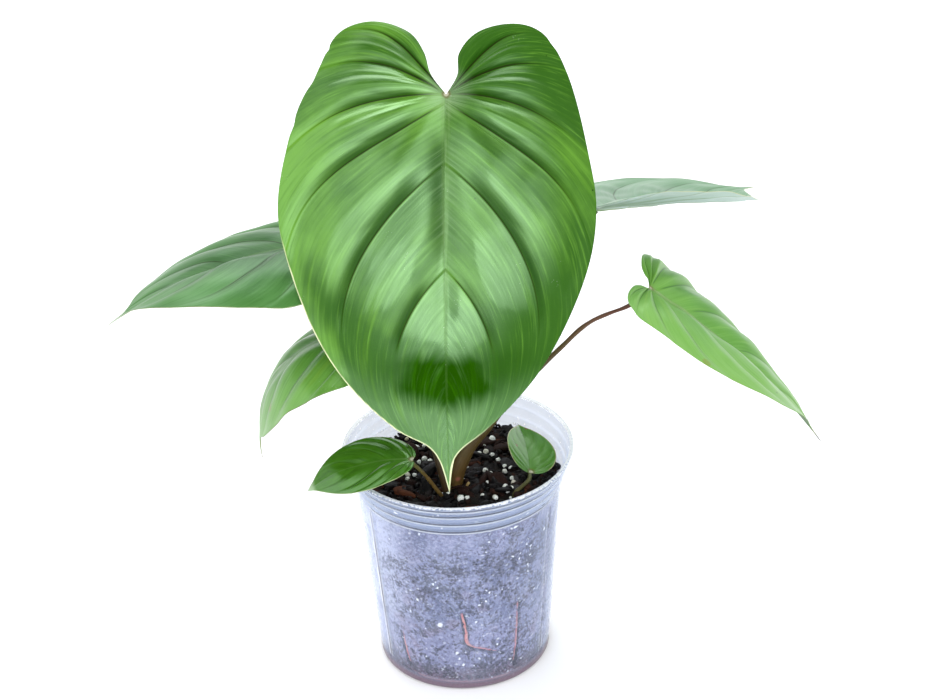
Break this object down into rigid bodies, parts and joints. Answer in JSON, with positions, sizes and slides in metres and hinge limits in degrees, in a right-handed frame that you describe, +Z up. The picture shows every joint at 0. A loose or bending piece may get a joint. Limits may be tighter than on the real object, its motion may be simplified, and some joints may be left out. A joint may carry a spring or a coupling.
{
  "type": "potted philodendron plant",
  "caption": "Aroid house plant with quilted heart-shaped leaves on slim stalks, rooted in bark and perlite in a clear tapered nursery pot that stands on its base.",
  "frame": {"origin": "centre of the pot's underside, on the surface that the pot stands on", "axes": "+Z up along the pot's axis; -Y is the front, over which the largest leaf hangs; +X is to the right seen from the front"},
  "size_m": [0.3629, 0.2346, 0.3293],
  "materials": {
    "clear_plastic": "gloss",
    "soil_mix": "matte",
    "stem_tissue": "satin",
    "petiole_tissue": "satin",
    "leaf_mature": "satin",
    "leaf_cool": "satin",
    "leaf_light": "satin",
    "leaf_dark": "gloss",
    "root_tissue": "satin"
  },
  "bodies": {
    "root": {"pot": "clear_plastic", "soil": "soil_mix", "stem": "stem_tissue", "blade_front": "leaf_mature", "blade_left": "leaf_cool", "blade_lower_left": "leaf_mature", "blade_right": "leaf_light", "blade_back": "leaf_cool", "blade_small_left": "leaf_dark", "blade_small_right": "leaf_mature", "petiole_front": "petiole_tissue", "petiole_left": "petiole_tissue", "petiole_lower_left": "petiole_tissue", "petiole_right": "petiole_tissue", "petiole_back": "petiole_tissue", "petiole_small_left": "petiole_tissue", "petiole_small_right": "petiole_tissue", "root_front": "root_tissue", "root_right": "root_tissue", "root_left": "root_tissue", "root_ring": "root_tissue"}
  },
  "joints": []
}
